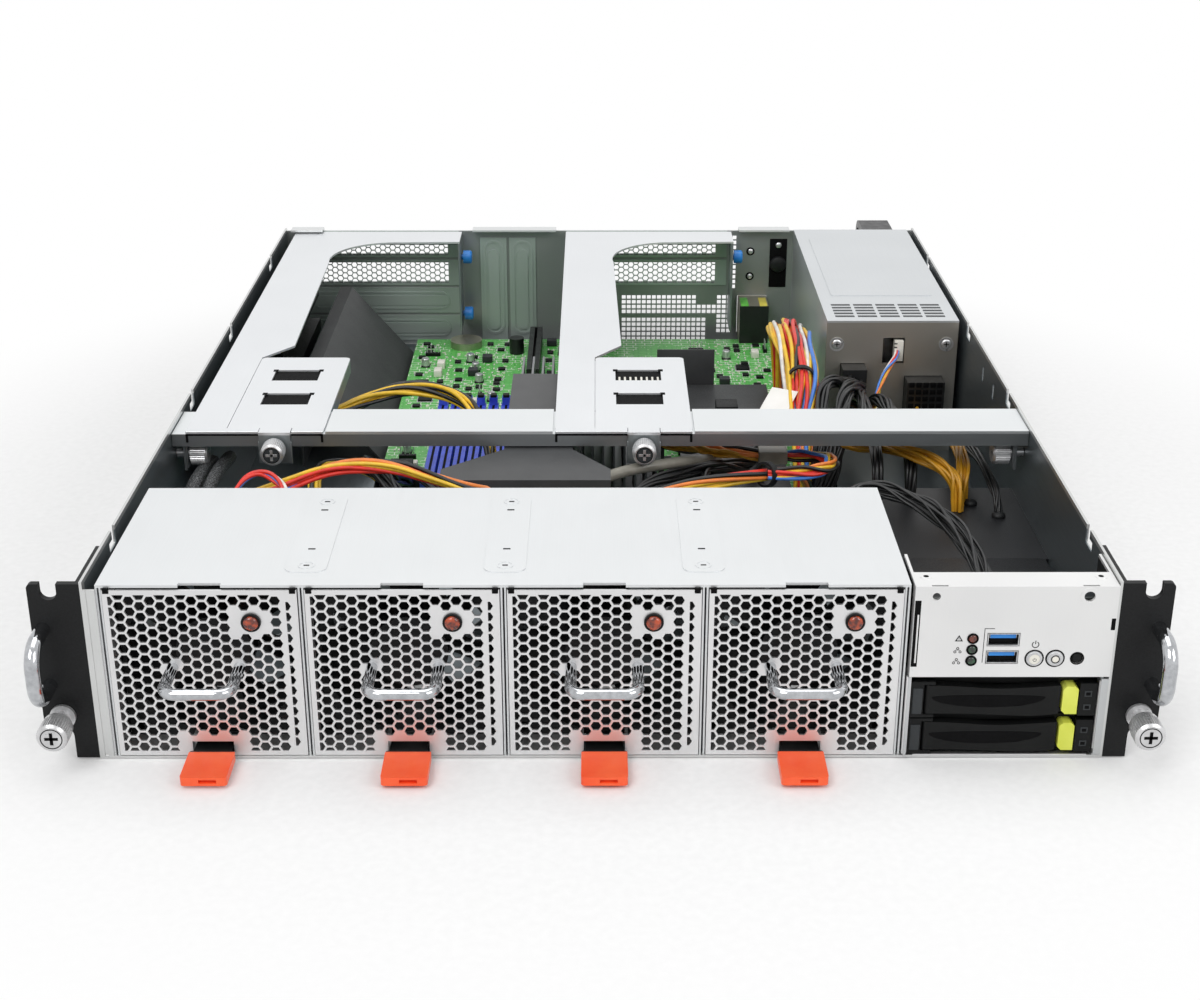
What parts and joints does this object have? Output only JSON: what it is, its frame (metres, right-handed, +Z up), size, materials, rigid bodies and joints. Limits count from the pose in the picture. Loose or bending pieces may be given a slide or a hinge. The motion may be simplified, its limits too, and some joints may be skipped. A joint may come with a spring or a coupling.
{
  "type": "rack server",
  "caption": "low wide rack-mount computer with its lid off: sheet metal case, hot swap fan modules in front, drive bays, riser cages over a main board and slide-in power supplies",
  "frame": {"origin": "on the underside of the case, midway across its width, at the plane where the rack ears' rear faces meet the rack posts", "axes": "+X to the right seen from the front, +Y from the front to the rear, +Z up"},
  "size_m": [0.4826, 0.628, 0.0863],
  "materials": {
    "zinc_sheet": "satin zinc-coated sheet",
    "plain_steel": "turned, nickel plated",
    "black_steel": "fine black powder coat",
    "bright_chrome": "polished",
    "bare_aluminium": "extruded",
    "black_plastic": "fine texture",
    "silver_plastic": "metallic paint",
    "orange_plastic": "moulded",
    "lime_plastic": "moulded",
    "blue_plastic": "moulded",
    "blue_socket": "moulded",
    "green_board": "solder mask",
    "wire_vinyl": "soft vinyl"
  },
  "bodies": {
    "chassis": {"chassis_tray": "zinc_sheet", "rear_panel": "zinc_sheet", "rack_ears": "black_steel", "ear_handles": "bright_chrome", "fan_cage": "zinc_sheet", "control_panel": "zinc_sheet", "front_io_board": "green_board", "drive_cage": "zinc_sheet", "daughter_boards": "green_board", "crossbar": "zinc_sheet", "riser_cage_left": "zinc_sheet", "riser_cage_right": "zinc_sheet", "slot_covers": "zinc_sheet", "psu_cage": "zinc_sheet", "motherboard": "green_board", "board_sockets": "blue_socket", "cpu_heatsink": "bare_aluminium", "air_baffles": "black_plastic", "power_harness": "wire_vinyl", "signal_harness": "wire_vinyl"},
    "fan_module_1": {"fan_carrier_1": "zinc_sheet", "fan_frame_1": "black_plastic", "fan_handle_1": "bright_chrome"},
    "fan_rotor_1": {"fan_rotor_1": "black_plastic"},
    "fan_lever_1": {"fan_lever_1": "orange_plastic"},
    "fan_module_2": {"fan_carrier_2": "zinc_sheet", "fan_frame_2": "black_plastic", "fan_handle_2": "bright_chrome"},
    "fan_rotor_2": {"fan_rotor_2": "black_plastic"},
    "fan_lever_2": {"fan_lever_2": "orange_plastic"},
    "fan_module_3": {"fan_carrier_3": "zinc_sheet", "fan_frame_3": "black_plastic", "fan_handle_3": "bright_chrome"},
    "fan_rotor_3": {"fan_rotor_3": "black_plastic"},
    "fan_lever_3": {"fan_lever_3": "orange_plastic"},
    "fan_module_4": {"fan_carrier_4": "zinc_sheet", "fan_frame_4": "black_plastic", "fan_handle_4": "bright_chrome"},
    "fan_rotor_4": {"fan_rotor_4": "black_plastic"},
    "fan_lever_4": {"fan_lever_4": "orange_plastic"},
    "drive_tray_1": {"drive_tray_1": "black_plastic"},
    "drive_lever_1": {"drive_lever_1": "black_plastic"},
    "drive_latch_1": {"drive_latch_1": "lime_plastic"},
    "drive_tray_2": {"drive_tray_2": "black_plastic"},
    "drive_lever_2": {"drive_lever_2": "black_plastic"},
    "drive_latch_2": {"drive_latch_2": "lime_plastic"},
    "power_button": {"power_button": "silver_plastic"},
    "uid_button": {"uid_button": "silver_plastic"},
    "reset_button": {"reset_button": "black_plastic"},
    "ear_thumbscrew_left": {"ear_thumbscrew_left": "plain_steel"},
    "ear_thumbscrew_right": {"ear_thumbscrew_right": "plain_steel"},
    "bar_thumbscrew_left": {"bar_thumbscrew_left": "plain_steel"},
    "bar_thumbscrew_right": {"bar_thumbscrew_right": "plain_steel"},
    "riser_thumbscrew_left": {"riser_thumbscrew_left": "plain_steel"},
    "riser_thumbscrew_right": {"riser_thumbscrew_right": "plain_steel"},
    "card_thumbscrew_1": {"card_thumbscrew_1": "blue_plastic"},
    "card_thumbscrew_2": {"card_thumbscrew_2": "blue_plastic"},
    "card_thumbscrew_3": {"card_thumbscrew_3": "blue_plastic"},
    "psu_module_1": {"psu_module_1": "zinc_sheet"},
    "psu_module_2": {"psu_module_2": "zinc_sheet"}
  },
  "joints": [
    {"name": "fan_module_1_slide", "type": "slide", "parent": "chassis", "child": "fan_module_1", "axis": [0, -1, 0], "range_m": [0, 0.11]},
    {"name": "fan_rotor_1_spin", "type": "hinge", "parent": "fan_module_1", "child": "fan_rotor_1", "pos_m": [-0.169, 0.03, 0.04225], "axis": [0, 1, 0], "continuous": true},
    {"name": "fan_lever_1_lift", "type": "hinge", "parent": "fan_module_1", "child": "fan_lever_1", "pos_m": [-0.169, 0.01, 0.0035], "axis": [-1, 0, 0], "range_deg": [0, 6], "stiffness_Nm_per_rad": 0.4},
    {"name": "fan_module_2_slide", "type": "slide", "parent": "chassis", "child": "fan_module_2", "axis": [0, -1, 0], "range_m": [0, 0.11]},
    {"name": "fan_rotor_2_spin", "type": "hinge", "parent": "fan_module_2", "child": "fan_rotor_2", "pos_m": [-0.08383, 0.03, 0.04225], "axis": [0, 1, 0], "continuous": true},
    {"name": "fan_lever_2_lift", "type": "hinge", "parent": "fan_module_2", "child": "fan_lever_2", "pos_m": [-0.08383, 0.01, 0.0035], "axis": [-1, 0, 0], "range_deg": [0, 6], "stiffness_Nm_per_rad": 0.4},
    {"name": "fan_module_3_slide", "type": "slide", "parent": "chassis", "child": "fan_module_3", "axis": [0, -1, 0], "range_m": [0, 0.11]},
    {"name": "fan_rotor_3_spin", "type": "hinge", "parent": "fan_module_3", "child": "fan_rotor_3", "pos_m": [0.00134, 0.03, 0.04225], "axis": [0, 1, 0], "continuous": true},
    {"name": "fan_lever_3_lift", "type": "hinge", "parent": "fan_module_3", "child": "fan_lever_3", "pos_m": [0.00134, 0.01, 0.0035], "axis": [-1, 0, 0], "range_deg": [0, 6], "stiffness_Nm_per_rad": 0.4},
    {"name": "fan_module_4_slide", "type": "slide", "parent": "chassis", "child": "fan_module_4", "axis": [0, -1, 0], "range_m": [0, 0.11]},
    {"name": "fan_rotor_4_spin", "type": "hinge", "parent": "fan_module_4", "child": "fan_rotor_4", "pos_m": [0.08651, 0.03, 0.04225], "axis": [0, 1, 0], "continuous": true},
    {"name": "fan_lever_4_lift", "type": "hinge", "parent": "fan_module_4", "child": "fan_lever_4", "pos_m": [0.08651, 0.01, 0.0035], "axis": [-1, 0, 0], "range_deg": [0, 6], "stiffness_Nm_per_rad": 0.4},
    {"name": "drive_tray_1_slide", "type": "slide", "parent": "chassis", "child": "drive_tray_1", "axis": [0, -1, 0], "range_m": [0, 0.11]},
    {"name": "drive_lever_1_swing", "type": "hinge", "parent": "drive_tray_1", "child": "drive_lever_1", "pos_m": [0.1415, -0.001, 0.0108], "axis": [0, 0, -1], "range_deg": [0, 75]},
    {"name": "drive_latch_1_press", "type": "slide", "parent": "drive_tray_1", "child": "drive_latch_1", "axis": [0, 1, 0], "range_m": [0, 0.0015], "stiffness_N_per_m": 700},
    {"name": "drive_tray_2_slide", "type": "slide", "parent": "chassis", "child": "drive_tray_2", "axis": [0, -1, 0], "range_m": [0, 0.11]},
    {"name": "drive_lever_2_swing", "type": "hinge", "parent": "drive_tray_2", "child": "drive_lever_2", "pos_m": [0.1415, -0.001, 0.0288], "axis": [0, 0, -1], "range_deg": [0, 75]},
    {"name": "drive_latch_2_press", "type": "slide", "parent": "drive_tray_2", "child": "drive_latch_2", "axis": [0, 1, 0], "range_m": [0, 0.0015], "stiffness_N_per_m": 700},
    {"name": "power_button_press", "type": "slide", "parent": "chassis", "child": "power_button", "axis": [0, 1, 0], "range_m": [0, 0.001], "stiffness_N_per_m": 900},
    {"name": "uid_button_press", "type": "slide", "parent": "chassis", "child": "uid_button", "axis": [0, 1, 0], "range_m": [0, 0.001], "stiffness_N_per_m": 900},
    {"name": "reset_button_press", "type": "slide", "parent": "chassis", "child": "reset_button", "axis": [0, 1, 0], "range_m": [0, 0.001], "stiffness_N_per_m": 900},
    {"name": "ear_thumbscrew_left_turn", "type": "hinge", "parent": "chassis", "child": "ear_thumbscrew_left", "pos_m": [-0.23255, -0.01, 0.0215], "axis": [0, -1, 0], "continuous": true},
    {"name": "ear_thumbscrew_right_turn", "type": "hinge", "parent": "chassis", "child": "ear_thumbscrew_right", "pos_m": [0.23255, -0.01, 0.0215], "axis": [0, -1, 0], "continuous": true},
    {"name": "bar_thumbscrew_left_turn", "type": "hinge", "parent": "chassis", "child": "bar_thumbscrew_left", "pos_m": [-0.208, 0.182, 0.069], "axis": [1, 0, 0], "continuous": true},
    {"name": "bar_thumbscrew_right_turn", "type": "hinge", "parent": "chassis", "child": "bar_thumbscrew_right", "pos_m": [0.208, 0.182, 0.069], "axis": [-1, 0, 0], "continuous": true},
    {"name": "riser_thumbscrew_left_turn", "type": "hinge", "parent": "chassis", "child": "riser_thumbscrew_left", "pos_m": [-0.16525, 0.165, 0.076], "axis": [0, -1, 0], "continuous": true},
    {"name": "riser_thumbscrew_right_turn", "type": "hinge", "parent": "chassis", "child": "riser_thumbscrew_right", "pos_m": [0.02215, 0.165, 0.076], "axis": [0, -1, 0], "continuous": true},
    {"name": "card_thumbscrew_1_turn", "type": "hinge", "parent": "chassis", "child": "card_thumbscrew_1", "pos_m": [-0.0916, 0.5408, 0.0694], "axis": [1, 0, 0], "continuous": true},
    {"name": "card_thumbscrew_2_turn", "type": "hinge", "parent": "chassis", "child": "card_thumbscrew_2", "pos_m": [-0.0916, 0.5408, 0.02876], "axis": [1, 0, 0], "continuous": true},
    {"name": "card_thumbscrew_3_turn", "type": "hinge", "parent": "chassis", "child": "card_thumbscrew_3", "pos_m": [0.0958, 0.5408, 0.0694], "axis": [1, 0, 0], "continuous": true},
    {"name": "psu_module_1_slide", "type": "slide", "parent": "chassis", "child": "psu_module_1", "axis": [0, 1, 0], "range_m": [0, 0.19]},
    {"name": "psu_module_2_slide", "type": "slide", "parent": "chassis", "child": "psu_module_2", "axis": [0, 1, 0], "range_m": [0, 0.19]}
  ]
}
